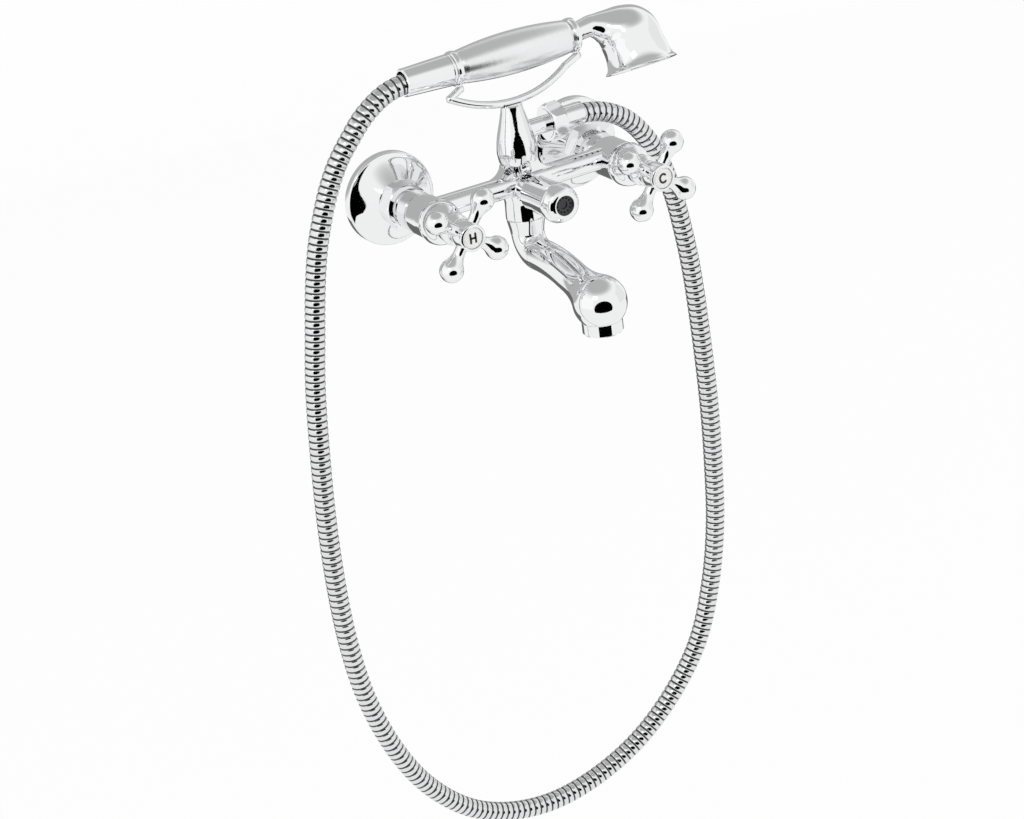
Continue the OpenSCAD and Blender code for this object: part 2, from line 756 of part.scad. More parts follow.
// Trumpet-shaped pull knob
module diverter_knob() {
    f = d_knob_face;
    rim = f - knob_rim_setback;
    color("silver") from_wall() difference() {
        rotate_extrude() polygon(concat(
            [[0, d_knob], [knob_stem_r - 0.5, d_knob]],
            smooth([[knob_stem_r, d_knob + 0.5], [knob_stem_r, d_knob + knob_len * 0.22],
                    [knob_stem_r + 0.4, d_knob + knob_len * 0.45], [knob_r - 0.4, rim - 5],
                    [knob_r, rim], [knob_r - 0.7, rim + 3], [knob_r - 2, f - 2],
                    [inset_r + 3.2, f - 0.5], [inset_r + 2.4, f]], 4),
            [[inset_r + fit, f], [inset_r + fit, f - 0.6], [0, f - 0.6]]));
        rod(rod_r + 0.02, d_knob - 1, rod_tip + 0.2);
        rod(inset_r + fit, f - inset_depth, f + 1);
    }
}

// Dark inset with a fluted edge
module diverter_inset() {
    flutes = 12;
    base = d_knob_face - inset_depth;
    color("dimgray") from_wall() difference() {
        rod(inset_r, base, base + 3);
        rod(inset_r * 0.4, base + 2, base + 4);
        for (k = [0 : flutes - 1])
            rotate([0, 0, 360 * k / flutes]) translate([inset_r * 0.72, 0, base + 2])
                cylinder(r = inset_r * 0.11, h = 2);
    }
}

// Tulip-shaped column on its ball neck, with the side outlet and the notch for the bow
// Ball in front of the column's foot, grown by a margin
module front_ball(margin) {
    translate([0, -d_bar - front_ball_out, front_ball_z]) sphere(r = front_ball_r + margin);
}

module cradle_column() {
    foot = column_foot;
    top = column_top;
    low = asin(-ball_rise / ball_r);
    color("silver") difference() {
        union() {
            difference() {
                translate([0, -d_bar, 0]) rotate_extrude() polygon(concat(
                    [[0, body_top - column_spigot_len], [column_spigot_r, body_top - column_spigot_len],
                     [column_spigot_r, body_top]],
                    arc(0, ball_z, ball_r, low, 48, 8),
                    [[column_neck_r, foot], [column_foot_r - 0.6, foot]],
                    smooth([[column_foot_r, foot + 0.8], [column_r - 0.2, foot + column_swell_rise / 2],
                            [column_r, foot + column_swell_rise], [column_r - 1.2, foot + column_taper_rise],
                            [column_top_r + 2.4, top - column_taper_drop], [column_top_r + 0.4, top - 4],
                            [column_top_r, top - 0.8]], 4),
                    [[column_top_r - 0.8, top], [0, top]]));
                from_wall(0, front_ball_z)
                    rod(front_ball_r + gap, d_bar + front_ball_out, d_bar + 2 * column_r);
            }
            front_ball(0);
            translate([0, -d_bar, outlet_z]) rotate([0, 90, 0]) rod(outlet_r, 0, x_thread);
            translate([0, -d_bar, outlet_z]) rotate([0, 90, 0]) rod(outlet_thread_r, x_thread, outlet_reach);
        }
        translate([0, -d_bar, 0]) rod(column_spigot_r - 1, 0, outlet_z);
        translate([0, -d_bar, outlet_z]) rotate([0, 90, 0]) rod(hose_bore_r - 0.2, -2, outlet_reach + 1);
        translate([-column_r, seat_y, seat_z]) rotate([0, 90, 0])
            cylinder(r = bow_r + gap, h = 2 * column_r);
        translate([-column_r, seat_y - bow_r - gap, seat_z])
            cube([2 * column_r, 2 * (bow_r + gap), bow_r + 4]);
    }
}

// Spout pieces
module along_run() {
    translate([0, run_y, run_z]) rotate([180 - run_heading, 0, 0]) children();
}

// Tube that swells smoothly into the bulb
module spout_run_length() {
    dy = spout_r + spout_sweep;
    dz = sqrt(pow(bulb_r + spout_sweep, 2) - pow(dy, 2));
    a = atan2(dz, dy);
    rotate_extrude() polygon(concat(
        [[spout_bore_r, -spout_lap], [spout_r, -spout_lap]],
        arc(dy, spout_run - dz, spout_sweep, 180, 180 - a, 10),
        arc(0, spout_run, bulb_r, -a, 90, 18),
        [[0, spout_run], [spout_bore_r, spout_run]]));
}

// Bend from the origin back along local -z, turning towards local +y
module spout_bend_length() {
    translate([0, spout_bend_r, 0]) rotate([180, 0, 0]) rotate([90, 0, 90])
        rotate_extrude(angle = spout_bend) translate([spout_bend_r, 0]) difference() {
            circle(r = spout_r);
            circle(r = spout_bore_r);
        }
}

// Arch behind the run, and the bend from there up to the neck
module spout_curves() {
    translate([0, -spout_arch_r, 0]) rotate([90, 0, 90]) rotate([0, 0, -spout_arch])
        rotate_extrude(angle = spout_arch) translate([spout_arch_r, 0]) difference() {
            circle(r = spout_r - fit);
            circle(r = spout_bore_r - 2 * fit);
        }
    translate([0, spout_arch_r * (cos(spout_arch) - 1), -spout_arch_r * sin(spout_arch)])
        rotate([-spout_arch, 0, 0]) {
            tube(spout_r, spout_bore_r, 0, spout_lap);
            spout_bend_length();
        }
}

// Neck and tenon, with two O-ring grooves and the grub screw's groove
module spout_neck_length() {
    mid = seam_z + tenon_len / 2 + gap;
    lap = 0.5;
    inner = spout_bore_r - 0.1;
    half = o_ring_r + fit;
    function groove(z, h, r) = [[tenon_r, z - h], [r, z - h], [r, z + h], [tenon_r, z + h]];
    translate([0, -d_bar, 0]) rotate_extrude() polygon(concat(
        [[inner, bend_z - lap], [spout_r + 0.3, bend_z - lap]],
        smooth([[spout_r + 0.3, bend_z], [spout_r + 0.7, bend_z + neck_taper * 0.25],
                [body_r - 0.7, bend_z + neck_taper * 0.6], [body_r, seam_z - 0.5]], 3),
        [[body_r - 0.3, seam_z], [tenon_r, seam_z]],
        groove(seam_z + 2.4, half, groove_r - fit),
        groove(mid, screw_r - 0.2, tenon_r - 1.2),
        groove(seam_z + tenon_len - 2.4, half, groove_r - fit),
        [[tenon_r, seam_z + tenon_len], [inner, seam_z + tenon_len]]));
}

module spout() {
    socket_z = aerator_z + aerator_thread_len + aerator_seal_t + 0.2;
    color("silver") difference() {
        union() {
            spout_neck_length();
            along_run() spout_curves();
            along_run() spout_run_length();
        }
        translate([0, bulb_y, aerator_z - 2 * bulb_r]) cylinder(r = 2 * bulb_r, h = 2 * bulb_r);
        translate([0, bulb_y, 0]) rod(aerator_thread_r + fit, aerator_z - 1, socket_z);
    }
}

module spout_o_ring(rise) {
    color("black") translate([0, -d_bar, 0]) o_ring(tenon_r - o_ring_r, o_ring_r - 0.02, seam_z + rise);
}

// Screw in the back of the body whose tip runs in the tenon's groove
module spout_grub_screw() {
    tip = tenon_r - 0.9;
    color("gray") translate([0, -d_bar, -neck_drop + tenon_len / 2]) rotate([-90, 0, 0]) difference() {
        union() {
            rod(screw_r, tenon_r + 0.4, body_r - 0.4);
            rod(screw_r - 0.8, tip, tenon_r + 1);
        }
        translate([0, 0, body_r - 1.4]) cylinder(r = screw_r * 0.55, h = 2, $fn = 6);
    }
}

module aerator_ring() {
    z = aerator_z - gap;
    color("silver") translate([0, bulb_y, 0]) difference() {
        union() {
            rod(aerator_thread_r, z - 0.2, aerator_z + aerator_thread_len);
            rotate_extrude() polygon([[0, z - aerator_h], [aerator_r - 0.8, z - aerator_h],
                [aerator_r, z - aerator_h + 0.8], [aerator_r, z - 0.6], [aerator_r - 0.6, z], [0, z]]);
        }
        rod(aerator_thread_r - 2, z - aerator_h + 1.6, aerator_z + aerator_thread_len + 1);
        rod(aerator_thread_r - 3, z - aerator_h - 1, aerator_z);
    }
}

// Insert with a grid of water holes
module aerator_insert() {
    r = aerator_thread_r - 2 - fit;
    low = aerator_z - gap - aerator_h + 1.6;
    color("whitesmoke") translate([0, bulb_y, 0]) difference() {
        rod(r, low, aerator_z + aerator_thread_len - 0.2);
        rod(r - 1.5, low + 2, aerator_z + aerator_thread_len + 1);
        for (ring = [1, 2], k = [0 : 6 * ring - 1])
            rotate([0, 0, 60 * k / ring]) translate([ring * r * 0.33, 0, low - 1])
                cylinder(r = r * 0.09, h = 4);
    }
}

module aerator_seal() {
    color("black") translate([0, bulb_y, 0])
        tube(aerator_thread_r - 0.2, aerator_thread_r - 2.6, aerator_z + aerator_thread_len,
             aerator_z + aerator_thread_len + aerator_seal_t);
}

// Hose pieces
module along_outlet() {
    translate([0, -d_bar, outlet_z]) rotate([0, 90, 0]) children();
}

module hose_nut() {
    from = x_thread + 0.4;
    color("silver") along_outlet() difference() {
        bevelled_nut(hose_nut_af, ferrule_r + 2, from, from + hose_nut_len, 1.5);
        rod(outlet_thread_r + fit, from - 1, x_lip);
        rod(ferrule_r + fit, from, from + hose_nut_len + 1);
    }
}

module hose_washer() {
    color("black") along_outlet() tube(outlet_thread_r - 0.3, hose_bore_r, outlet_reach, x_washer);
}

module hose_ferrule() {
    mouth = hose_end_x + ferrule_sleeve;
    color("silver") along_outlet() difference() {
        union() {
            rod(outlet_thread_r - 0.3, x_washer, x_washer + ferrule_flange_t);
            rod(ferrule_r, x_washer, mouth);
        }
        rod(hose_bore_r, x_washer - 1, mouth + 1);
        rod(hose_r + gap, hose_end_x - gap, mouth + 1);
    }
}

module shower_hose() {
    line = smooth(hose_route, 8);
    run = lengths(line);
    total = run[len(run) - 1];
    along = [for (axis = [0 : 2]) [for (i = [0 : len(line) - 1]) [run[i], line[i][axis]]]];
    function at(s) = [for (axis = [0 : 2]) lookup(s, along[axis])];
    function heading(s) = unit(at(min(s + 2, total)) - at(max(s - 2, 0)));
    function ring(s, r) =
        let (t = heading(s), u = unit(cross(t, [0, 1, 0])), v = cross(u, t), c = at(s))
        [for (j = [0 : hose_sides - 1])
         let (a = 360 * (j + 0.5) / hose_sides)
         c + r * cos(a) * u + r * sin(a) * v];
    ribs = [for (k = [0 : 2 * rib_count])
            ring(total * k / (2 * rib_count), k % 2 == 0 ? hose_r - rib_depth : hose_r)];
    bore = [for (k = [bore_rings : -1 : 0]) ring(total * k / bore_rings, hose_bore_r)];
    echo(hose_length = total);
    color("silver") ring_loop(concat(ribs, bore));
}

// Handset frame: local x along the grip, local z away from the bow
module handset_frame() {
    translate([0, -handset_out, handset_z]) rotate([-handset_lean, 0, 0]) children();
}

module along_grip() {
    handset_frame() rotate([0, 90, 0]) children();
}

module hose_cone_nut() {
    color("silver") along_grip() difference() {
        rotate_extrude() polygon([[0, cone_x], [cone_r_hose - 0.8, cone_x], [cone_r_hose, cone_x + 0.8],
            [cone_r_handset, tail_x - 1], [cone_r_handset - 0.6, tail_x - fit], [0, tail_x - fit]]);
        rod(hose_r + gap, cone_x - 1, hose_start_x + gap);
        translate([0, 0, cone_x - gap]) cylinder(r1 = hose_r + gap + sleeve_flare, r2 = hose_r + gap,
                                                 h = hose_start_x - hose_straight - cone_x + gap);
        rod(hose_bore_r, cone_x, tail_x);
        rod(tail_thread_r + fit, cone_washer_x, tail_x + 1);
    }
}

module cone_washer() {
    color("black") along_grip()
        tube(tail_thread_r - 0.2, hose_bore_r, cone_washer_x, tail_x - tail_thread_len);
}

module handset_tail() {
    color("silver") along_grip() difference() {
        union() {
            rod(tail_thread_r, tail_x - tail_thread_len, tail_x + 0.2);
            rotate_extrude() polygon([
                [0, tail_x], [cone_r_handset - 0.4, tail_x], [cone_r_handset, tail_x + 0.4],
                [cone_r_handset, tail_x + 1.2], [cone_r_handset - 0.4, tail_x + 1.6], [0, tail_x + 1.6]]);
            rod(core_r, tail_x, x_head - fit);
        }
        rod(core_bore_r, tail_x - tail_thread_len - 1, x_head + 1);
    }
}

module handset_grip() {
    half = grip_len / 2;
    swell = grip_mid_r - grip_end_r;
    r = (pow(half, 2) + pow(swell, 2)) / (2 * swell);
    a = asin(half / r);
    color("gainsboro") along_grip() difference() {
        rotate_extrude() polygon(concat(
            [[0, x_grip], [grip_end_r - 0.8, x_grip]],
            arc(grip_mid_r - r, x_grip + half, r, -a + 0.5, a - 0.5, 16),
            [[grip_end_r - 0.8, x_grip_end], [0, x_grip_end]]));
        rod(core_r + fit, x_grip - 1, x_grip_end + 1);
    }
}

// Bow under the grip, with the two rings that hold it
module handset_bow() {
    end_z = -(bow_depth - bow_rise);
    left_x = bow_mid_x - bow_half;
    right_x = bow_mid_x + bow_half;
    ring_x = [tail_x + 1.6 + fit, x_grip_end + fit];
    root_z = -(core_r + bow_ring_r) / 2;
    knee_z = -(max(cone_r_handset, grip_end_r) + bow_r + 0.6);
    module leg(end_x, knee_x) {
        run = [knee_x - end_x, knee_z - end_z];
        translate([end_x, 0, end_z]) sphere(r = bow_bead_r);
        translate([end_x, 0, end_z]) rotate([0, atan2(run[0], run[1]), 0]) cylinder(r = bow_r, h = norm(run));
        translate([knee_x, 0, knee_z]) sphere(r = bow_bead_r);
        translate([knee_x, 0, knee_z]) cylinder(r = bow_ring_w / 2 - 0.2, h = root_z - knee_z);
    }
    color("silver") handset_frame() difference() {
        union() {
            for (x = ring_x)
                rotate([0, 90, 0]) translate([0, 0, x]) rotate_extrude() polygon([
                    [core_r + fit, 0], [bow_ring_r - 1.4, 0], [bow_ring_r - 0.3, 0.6],
                    [bow_ring_r, bow_ring_w / 2], [bow_ring_r - 0.3, bow_ring_w - 0.6],
                    [bow_ring_r - 1.4, bow_ring_w], [core_r + fit, bow_ring_w]]);
            translate([bow_mid_x, 0, bow_arc_r - bow_depth]) rotate([90, 0, 0])
                rotate([0, 0, -90 - bow_arc_angle]) rotate_extrude(angle = 2 * bow_arc_angle)
                translate([bow_arc_r, 0]) circle(r = bow_r, $fn = 32);
            leg(left_x, ring_x[0] + bow_ring_w / 2);
            leg(right_x, ring_x[1] + bow_ring_w / 2);
        }
        rotate([0, 90, 0]) rod(core_r + fit, tail_x, x_head);
    }
}

// Rings of the head's horn: a point on the section plane, the plane's turn, the
// centre's distance from that point and the radius
function horn_rings() =
    let (px = x_head + 11.5, pz = -16, mid = mouth_r * 0.84)
    [[x_head, 0, 0, 0, 7.6], [x_head + 2.5, 0, 0, 0.6, 7.2], [x_head + 6, 0, 0, 1.6, 6.9],
     [px, pz, 0, 18.4, 7.3], [px, pz, 16, 18.6, 8.5], [px, pz, 32, 20.2, 11], [px, pz, 46, 23.6, 14.8],
     [px, pz, 58, 27.4, 18.2], [px, pz, 70, 29.6, 20.6], [px, pz, 80, 30.5, 21.4],
     [px, pz, 90, 30.6, mid], [mouth_x - 0.4, -22, 90, 0, mid + 0.3],
     [mouth_x - 0.2, -mouth_depth + 6, 90, 0, mid + 1],
     [mouth_x, -mouth_depth + 2.6, 90, 0, mouth_r - 2],
     [mouth_x, -mouth_depth + 0.9, 90, 0, mouth_r - 0.5],
     [mouth_x, -mouth_depth, 90, 0, mouth_r]];

module handset_head() {
    sides = 48;
    function section(h, r) =
        [for (j = [0 : sides - 1])
         let (a = 360 * j / sides, q = h[3] + r * cos(a))
         [h[0] + q * sin(h[2]), r * sin(a), h[1] + q * cos(h[2])]];
    horn = horn_rings();
    last = len(horn) - 1;
    outer = [for (h = smooth(horn, 2)) section(h, h[4])];
    inner = [for (i = [last : -1 : 0])
             section(horn[i], i < 4 ? core_bore_r : horn[i][4] - head_wall)];
    color("silver") handset_frame() ring_loop(concat(outer, inner));
}

// Frame on the spray plate's outer face
module at_spray() {
    handset_frame() translate([mouth_x - 0.2, 0, -mouth_depth + spray_recess]) children();
}

// Plate with rings of spray holes, set inside the mouth
module spray_plate() {
    color("lightgray") at_spray() difference() {
        cylinder(r1 = spray_r + spray_taper, r2 = spray_r, h = spray_t);
        for (ring = [1 : 3], k = [0 : 6 * ring - 1])
            rotate([0, 0, 60 * k / ring]) translate([ring * spray_r * 0.28, 0, -1])
                cylinder(r = spray_hole_r, h = spray_t + 2);
        translate([0, 0, -1]) cylinder(r = screw_r + fit, h = spray_t + 2);
    }
}

// Rivet through the plate's middle, with a head on both sides
module spray_rivet() {
    head = screw_r + 1.6;
    color("lightgray") at_spray() {
        rod(head, -1.4, 0);
        rod(screw_r, -0.5, spray_t + 0.5);
        rod(head, spray_t, spray_t + 1);
    }
}

wall_flange(hot_x);  // hot_wall_flange
wall_flange(cold_x);  // cold_wall_flange
wall_union(hot_x);  // hot_wall_union
wall_union(cold_x);  // cold_wall_union
union_nut(hot_x);  // hot_union_nut
union_nut(cold_x);  // cold_union_nut
gasket(hot_x);  // hot_gasket
gasket(cold_x);  // cold_gasket
housing(hot_x);  // hot_housing
housing(cold_x);  // cold_housing
seat_seal(hot_x);  // hot_seat_seal
seat_seal(cold_x);  // cold_seat_seal
ceramic_disc(hot_x, d_fixed, 0);  // hot_fixed_disc
ceramic_disc(cold_x, d_fixed, 0);  // cold_fixed_disc
ceramic_disc(hot_x, d_moving, 90);  // hot_moving_disc
ceramic_disc(cold_x, d_moving, 90);  // cold_moving_disc
headwork(hot_x);  // hot_headwork
headwork(cold_x);  // cold_headwork
bonnet_ring(hot_x);  // hot_bonnet_ring
bonnet_ring(cold_x);  // cold_bonnet_ring
spindle(hot_x);  // hot_spindle
spindle(cold_x);  // cold_spindle
shroud(hot_x);  // hot_shroud
shroud(cold_x);  // cold_shroud
cross_handle(hot_x);  // hot_cross_handle
cross_handle(cold_x);  // cold_cross_handle
handle_screw(hot_x);  // hot_handle_screw
handle_screw(cold_x);  // cold_handle_screw
index_button(hot_x);  // hot_index_button
index_button(cold_x);  // cold_index_button
centre_body();
diverter_bonnet();
diverter_rod();
diverter_seal();
diverter_spring();
diverter_knob();
diverter_inset();
cradle_column();
spout();
spout_o_ring(2.4);  // spout_low_ring
spout_o_ring(tenon_len - 2.4);  // spout_high_ring
spout_grub_screw();
aerator_ring();
aerator_insert();
aerator_seal();
hose_nut();
hose_washer();
hose_ferrule();
shower_hose();
hose_cone_nut();
cone_washer();
handset_tail();
handset_grip();
handset_bow();
handset_head();
spray_plate();
spray_rivet();
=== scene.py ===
"""Looks of a wall-mounted bath shower mixer: polished chrome in a white studio.

Lengths are in metres, or in millimetres where a name or comment says so. The frame is the part's own:
the wall is the plane y = 0, +Z is up, and the origin lies on the wall midway between the two inlets.
"""

import json
import math

import bmesh
import bpy
import numpy as np
from mathutils import Matrix, Vector


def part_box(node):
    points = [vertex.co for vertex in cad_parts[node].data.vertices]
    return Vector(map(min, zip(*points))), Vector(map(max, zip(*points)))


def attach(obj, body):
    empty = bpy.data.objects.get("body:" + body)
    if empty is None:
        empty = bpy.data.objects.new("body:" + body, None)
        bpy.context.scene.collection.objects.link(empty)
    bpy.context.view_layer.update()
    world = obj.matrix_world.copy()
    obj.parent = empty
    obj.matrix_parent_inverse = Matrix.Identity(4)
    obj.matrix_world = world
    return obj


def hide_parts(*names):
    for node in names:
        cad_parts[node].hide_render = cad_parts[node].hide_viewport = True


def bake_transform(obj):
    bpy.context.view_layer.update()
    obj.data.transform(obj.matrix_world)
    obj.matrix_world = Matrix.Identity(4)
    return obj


MM = 0.001

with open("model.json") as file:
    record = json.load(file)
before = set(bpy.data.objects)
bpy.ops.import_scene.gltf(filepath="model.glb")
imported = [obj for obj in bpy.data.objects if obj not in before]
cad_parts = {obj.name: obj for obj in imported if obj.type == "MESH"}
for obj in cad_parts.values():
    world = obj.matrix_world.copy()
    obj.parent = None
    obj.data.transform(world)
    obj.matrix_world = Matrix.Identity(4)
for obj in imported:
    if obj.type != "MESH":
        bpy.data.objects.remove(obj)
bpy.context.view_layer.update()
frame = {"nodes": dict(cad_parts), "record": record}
nodes = frame["nodes"]
scene = bpy.context.scene

# Camera, from a fit to the inlets, handles and flanges
CAM_AZIMUTH = math.radians(-27.4)
CAM_ELEVATION = math.radians(23.28)
CAM_ROLL = math.radians(7.57)
CAM_DISTANCE = 2.0485
CAM_TARGET = Vector((-0.02143, -0.040, -0.1666))
CAM_LENS = 101.2
CAM_SENSOR = 36.0

# Hose
HOSE_ROUTE_MM = [
    (-52, -45, 91), (-66, -45, 91), (-86.3, -45, 87.4), (-104, -45, 77.3), (-117.5, -45, 63.8),
    (-129, -45, 50), (-138.5, -45, 34), (-147, -46, 15.5), (-154, -46, -5), (-160, -46, -31),
    (-166, -47, -63), (-172, -47, -101), (-177, -48, -150), (-180, -48, -200), (-181, -49, -250),
    (-179, -50, -296), (-172, -50, -341), (-158, -51, -385), (-137, -51, -424), (-108, -52, -455),
    (-74, -52, -473), (-36, -53, -479), (4, -53, -473), (42, -54, -456), (76, -54, -429),
    (102, -55, -394), (118, -55, -352), (127, -56, -305), (131, -56, -255), (132, -57, -205),
    (131.2, -57, -150), (128.7, -57, -98), (123.5, -57, -56), (118, -57, -30), (110.5, -57, -7),
    (100.5, -57, 11.5), (86.9, -57, 26.3), (69.5, -57, 35.7), (50, -57, 39), (36, -57, 39),
]
HOSE_R = 7.0 * MM
HOSE_GROOVE = 0.9 * MM
HOSE_BORE_R = 4.0 * MM
HOSE_BORE_RINGS = 96
HOSE_RIBS = 285
HOSE_SIDES = 32
HOSE_STEPS = 8
HOSE_HEADING_STEP = 2.0 * MM
# Share of a rib's pitch and share of the groove's depth, from one groove to the next
RIB_SHAPE = [(0.0, 0.0), (0.07, 0.40), (0.14, 0.76), (0.24, 0.92), (0.37, 0.985), (0.5, 1.0), (0.63, 0.985),
             (0.76, 0.92), (0.86, 0.76), (0.93, 0.40)]
# A groove is painted dark up to this share of its depth. This is painted shade down in the groove, which also
# joins up the dark reflected streak along the hose
RIB_SHADE_DEPTH = 0.6

# Handset head, in millimetres in the handset's own frame: a point on a ring's plane along and above the grip,
# the plane's turn in degrees, the centre's distance from that point and the radius
HANDSET_ORIGIN = Vector((0.0, -45.0, 91.0)) * MM
HANDSET_LEAN = math.radians(22)
HORN_RINGS = [
    (61.75, 0, 0, 0, 7.6), (64.25, 0, 0, 0.6, 7.2), (67.75, 0, 0, 1.6, 6.9),
    (73.25, -16, 0, 18.4, 7.3), (73.25, -16, 16, 18.6, 8.5), (73.25, -16, 32, 20.2, 11),
    (73.25, -16, 46, 23.6, 14.8), (73.25, -16, 58, 27.4, 18.2), (73.25, -16, 70, 29.6, 20.6),
    (73.25, -16, 80, 30.5, 21.4), (73.25, -16, 90, 30.6, 21.67), (104.85, -22, 90, 0, 21.97),
    (105.05, -27.5, 90, 0, 22.67), (105.25, -30.9, 90, 0, 23.8), (105.25, -32.6, 90, 0, 25.3),
    (105.25, -33.5, 90, 0, 25.8),
]
HORN_SIDES = 96
HORN_STEPS = 8
HORN_WALL = 1.8
HORN_BORE_R = 4.0
HORN_BORE_RINGS = 4
# The lip's rounding: how far in from its edge and how far down each of its rings lies
LIP_RINGS = [(0.25, 0.28), (0.8, 0.4), (1.4, 0.22)]
HORN_CREASE = math.radians(50)

# Studio
FLOOR_Z = -0.62
FLOOR_HALF = 8.0
FLOOR_WHITE = 0.95
ROUND = 48


# Camera
def make_camera():
    """Camera at the photograph's viewing angle, turned about its own axis by the roll."""
    back = Vector((math.sin(CAM_AZIMUTH) * math.cos(CAM_ELEVATION),
                   -math.cos(CAM_AZIMUTH) * math.cos(CAM_ELEVATION), math.sin(CAM_ELEVATION)))
    level = Vector((math.cos(CAM_AZIMUTH), math.sin(CAM_AZIMUTH), 0.0))
    upright = back.cross(level)
    right = math.cos(CAM_ROLL) * level - math.sin(CAM_ROLL) * upright
    up = math.sin(CAM_ROLL) * level + math.cos(CAM_ROLL) * upright
    data = bpy.data.cameras.new("camera")
    data.sensor_width = CAM_SENSOR
    data.lens = CAM_LENS
    camera = bpy.data.objects.new("camera", data)
    scene.collection.objects.link(camera)
    turn = Matrix((right, up, back)).transposed().to_4x4()
    camera.matrix_world = Matrix.Translation(CAM_TARGET + back * CAM_DISTANCE) @ turn
    scene.camera = camera


make_camera()


# Meshes
def new_mesh(name, verts, faces):
    """A smooth-shaded mesh object from points and faces."""
    mesh = bpy.data.meshes.new(name)
    mesh.from_pydata([tuple(v) for v in verts], [], faces)
    mesh.validate()
    mesh.polygons.foreach_set("use_smooth", [True] * len(mesh.polygons))
    obj = bpy.data.objects.new(name, mesh)
    scene.collection.objects.link(obj)
    return obj


def loop_faces(rings, sides):
    """Faces of a closed row of rings whose last ring joins the first."""
    return [(i * sides + j, i * sides + (j + 1) % sides,
             (i + 1) % rings * sides + (j + 1) % sides, (i + 1) % rings * sides + j)
            for i in range(rings) for j in range(sides)]


def smooth_route(points, steps):
    """Smooth curve through the points, with the given steps between neighbours."""
    p = [np.array(q, float) for q in points]
    last = len(p) - 1
    out = []
    for i in range(last):
        a, b, c, e = p[max(i - 1, 0)], p[i], p[i + 1], p[min(i + 2, last)]
        for k in range(steps):
            t = k / steps
            out.append(0.5 * (2 * b + (c - a) * t + (2 * a - 5 * b + 4 * c - e) * t * t
                              + (3 * b - a - 3 * c + e) * t ** 3))
    out.append(p[last])
    return np.array(out)


def make_hose():
    """Wound metal hose: rounded ribs with narrow grooves between them, and its bore, with the groove faces
    marked for a painted shade.
    """
    line = smooth_route(HOSE_ROUTE_MM, HOSE_STEPS) * MM
    run = np.concatenate([[0], np.cumsum(np.linalg.norm(np.diff(line, axis=0), axis=1))])
    total = run[-1]

    def at(s):
        return np.array([np.interp(s, run, line[:, k]) for k in range(3)])

    def ring(s, r):
        ahead = at(min(s + HOSE_HEADING_STEP, total)) - at(max(s - HOSE_HEADING_STEP, 0))
        ahead /= np.linalg.norm(ahead)
        u = np.cross(ahead, (0, 1, 0))
        u /= np.linalg.norm(u)
        v = np.cross(u, ahead)
        a = 2 * math.pi * np.arange(HOSE_SIDES) / HOSE_SIDES
        return at(s) + r * (np.outer(np.cos(a), u) + np.outer(np.sin(a), v))

    pitch = total / HOSE_RIBS
    rings = [ring((k + share) * pitch, HOSE_R - HOSE_GROOVE * (1 - rise))
             for k in range(HOSE_RIBS) for share, rise in RIB_SHAPE]
    rings.append(ring(total, HOSE_R - HOSE_GROOVE))
    rings += [ring(total * k / HOSE_BORE_RINGS, HOSE_BORE_R) for k in range(HOSE_BORE_RINGS, -1, -1)]
    hose = new_mesh("hose_ribbed", np.concatenate(rings), loop_faces(len(rings), HOSE_SIDES))
    # Faces deep in a groove are marked to be painted dark, as painted shade
    rises = [rise for _, rise in RIB_SHAPE] * HOSE_RIBS + [0.0]
    shaded = [min(pair) < RIB_SHADE_DEPTH for pair in zip(rises, rises[1:])]
    shaded += [False] * (len(rings) - len(shaded))
    return hose, line, total, [int(g) for g in shaded for _ in range(HOSE_SIDES)]


hose, hose_line, hose_length, hose_shade_faces = make_hose()
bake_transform(hose)
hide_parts("shower_hose")


# Handset head
def make_head():
    """Horn of the handset, from its neck to the lip of its mouth, with its hollow."""
    rings = smooth_route(HORN_RINGS, HORN_STEPS)
    lean = Matrix.Rotation(-HANDSET_LEAN, 3, "X")
    angles = 2 * math.pi * np.arange(HORN_SIDES) / HORN_SIDES

    def section(ring, r, drop=0.0):
        along, above, turn, out, _ = ring
        turn = math.radians(turn)
        reach = [out + r * math.cos(a) for a in angles]
        return [HANDSET_ORIGIN + lean @ Vector((along + q * math.sin(turn), r * math.sin(a),
                                                above + q * math.cos(turn) - drop)) * MM
                for q, a in zip(reach, angles)]

    lip = rings[-1]
    loops = [section(g, g[4]) for g in rings]
    loops += [section(lip, lip[4] - inward, drop) for inward, drop in LIP_RINGS]
    bore_end = HORN_BORE_RINGS * HORN_STEPS
    loops += [section(rings[k], HORN_BORE_R if k < bore_end else rings[k][4] - HORN_WALL)
              for k in range(len(rings) - 1, -1, -1)]
    head = new_mesh("head_bell", [v for loop in loops for v in loop], loop_faces(len(loops), HORN_SIDES))
    head.data.set_sharp_from_angle(angle=HORN_CREASE)
    return head


head = make_head()
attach(head, "handset")
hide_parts("handset_head")


# Materials
def node_material(name, colour, metallic, roughness, **more):
    """A node material with its steady values set on the shader's own sockets."""
    mat = bpy.data.materials.new(name)
    mat.use_nodes = True
    shader = mat.node_tree.nodes["Principled BSDF"]
    shader.inputs["Base Color"].default_value = (*colour, 1)
    shader.inputs["Metallic"].default_value = metallic
    shader.inputs["Roughness"].default_value = roughness
    for socket, value in more.items():
        shader.inputs[socket.replace("_", " ")].default_value = value
    return mat


# Most of a noise's values lie between these
NOISE_LOW = 0.3
NOISE_HIGH = 0.7


